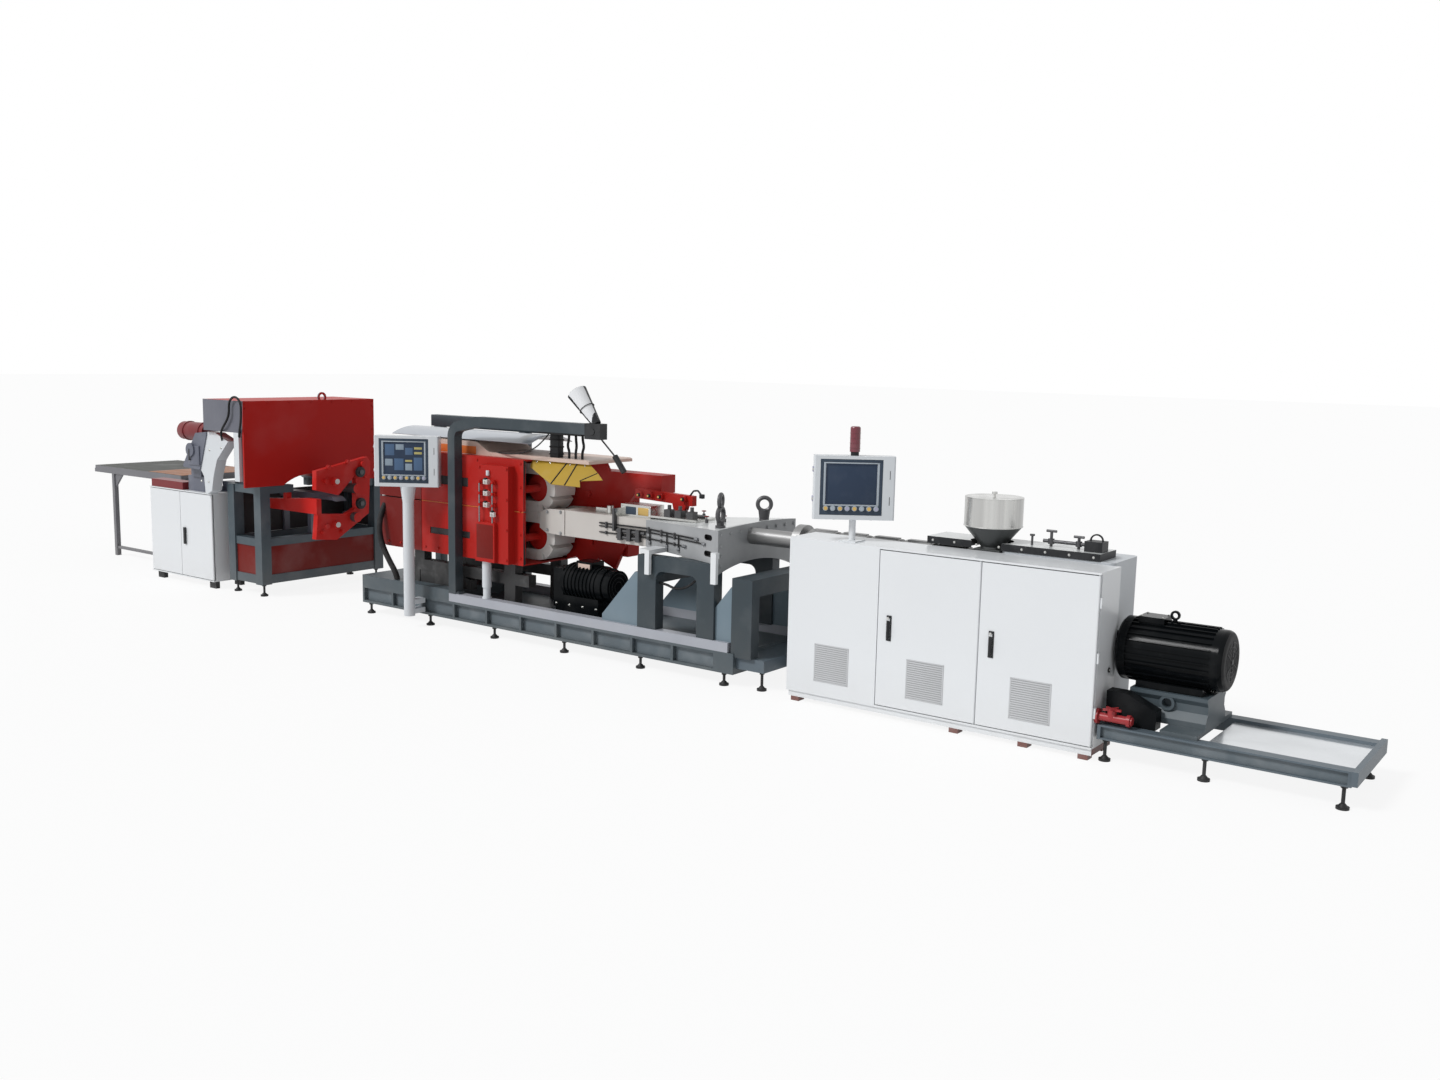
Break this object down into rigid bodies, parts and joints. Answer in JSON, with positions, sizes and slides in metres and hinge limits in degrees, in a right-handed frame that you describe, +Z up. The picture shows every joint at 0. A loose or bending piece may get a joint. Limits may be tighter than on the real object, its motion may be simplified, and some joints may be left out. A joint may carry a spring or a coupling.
{
  "type": "plastic pipe extrusion line",
  "caption": "A plastic pipe extrusion line: screw extruder behind a white cabinet, die bed, mould-chain corrugator under a lamp gantry, pipe cutter and run-out table.",
  "frame": {"origin": "on the floor under the levelling foot at the middle of the corrugator base, below the pipe axis", "axes": "+X along the line towards the drive motor, +Y to the back, +Z up"},
  "size_m": [12.582, 1.512, 2.013],
  "materials": {
    "white_paint": "semi-gloss",
    "blue_grey_paint": "satin",
    "pale_grey_paint": "satin",
    "red_paint": "gloss",
    "yellow_paint": "satin",
    "cream_paint": "satin",
    "bare_steel": "brushed",
    "mould_aluminium": "machined",
    "black_paint": "satin",
    "black_rubber": "matt",
    "board": "matt"
  },
  "bodies": {
    "line": {"levelling_feet": "black_paint", "extruder_base": "blue_grey_paint", "rail_tray": "pale_grey_paint", "cabinet_skid": "red_paint", "cabinet_shell": "white_paint", "cabinet_lid": "white_paint", "left_panel": "white_paint", "barrel": "bare_steel", "gearbox": "black_paint", "feed_deck": "black_paint", "hopper": "bare_steel", "water_manifold": "bare_steel", "panel_pole": "white_paint", "motor_pedestal": "blue_grey_paint", "drive_motor": "black_paint", "coupling_guard": "black_paint", "water_inlet": "red_paint", "die_bed": "pale_grey_paint", "lifting_eyes": "bare_steel", "die_stand": "blue_grey_paint", "corrugator_base": "blue_grey_paint", "base_rails": "pale_grey_paint", "carriage": "black_paint", "lower_housing": "red_paint", "upper_housing": "red_paint", "upper_mould_chain": "mould_aluminium", "lower_mould_chain": "mould_aluminium", "rear_wall": "red_paint", "mould_guard": "yellow_paint", "top_cover": "cream_paint", "valve_box": "red_paint", "chain_drive": "black_paint", "die_equipment": "bare_steel", "air_manifold": "red_paint", "bed_brackets": "white_paint", "gantry": "blue_grey_paint", "canopy": "pale_grey_paint", "hoses": "black_rubber", "work_lamp": "black_paint", "panel_post": "white_paint", "cutter_frame": "blue_grey_paint", "frame_panels": "red_paint", "cutter_hood": "red_paint", "pipe_clamp": "red_paint", "pipe_trough": "blue_grey_paint", "saw_unit": "blue_grey_paint", "saw_arm": "white_paint", "saw_motor": "red_paint", "blade_box": "red_paint", "side_cabinet": "white_paint", "table_frame": "black_paint", "table_board": "board"},
    "middle_door": {"middle_door": "white_paint"},
    "right_door": {"right_door": "white_paint"},
    "hopper_lid": {"hopper_lid": "bare_steel"},
    "operator_panel": {"operator_panel": "white_paint", "beacon": "red_paint"},
    "corrugator_panel": {"corrugator_panel": "white_paint"},
    "side_left_door": {"side_left_door": "white_paint"},
    "side_right_door": {"side_right_door": "white_paint"}
  },
  "joints": [
    {"name": "middle_door_hinge", "type": "hinge", "parent": "line", "child": "middle_door", "pos_m": [4.081, -0.4, 0.6], "axis": [0, 0, 1], "range_deg": [0, 90]},
    {"name": "right_door_hinge", "type": "hinge", "parent": "line", "child": "right_door", "pos_m": [4.808, -0.4, 0.6], "axis": [0, 0, 1], "range_deg": [0, 90]},
    {"name": "side_left_door_hinge", "type": "hinge", "parent": "line", "child": "side_left_door", "pos_m": [-4.493, -0.646, 0.6], "axis": [0, 0, 1], "range_deg": [-90, 0]},
    {"name": "side_right_door_hinge", "type": "hinge", "parent": "line", "child": "side_right_door", "pos_m": [-3.487, -0.646, 0.6], "axis": [0, 0, 1], "range_deg": [0, 90]},
    {"name": "operator_panel_swivel", "type": "hinge", "parent": "line", "child": "operator_panel", "pos_m": [3.13, -0.3, 1.3], "axis": [0, 0, 1], "range_deg": [-80, 50]},
    {"name": "corrugator_panel_swivel", "type": "hinge", "parent": "line", "child": "corrugator_panel", "pos_m": [-0.88, -0.54, 1.3], "axis": [0, 0, 1], "range_deg": [-70, 0]},
    {"name": "hopper_lid_lift", "type": "slide", "parent": "line", "child": "hopper_lid", "axis": [0, 0, 1], "range_m": [0, 0.3]}
  ]
}
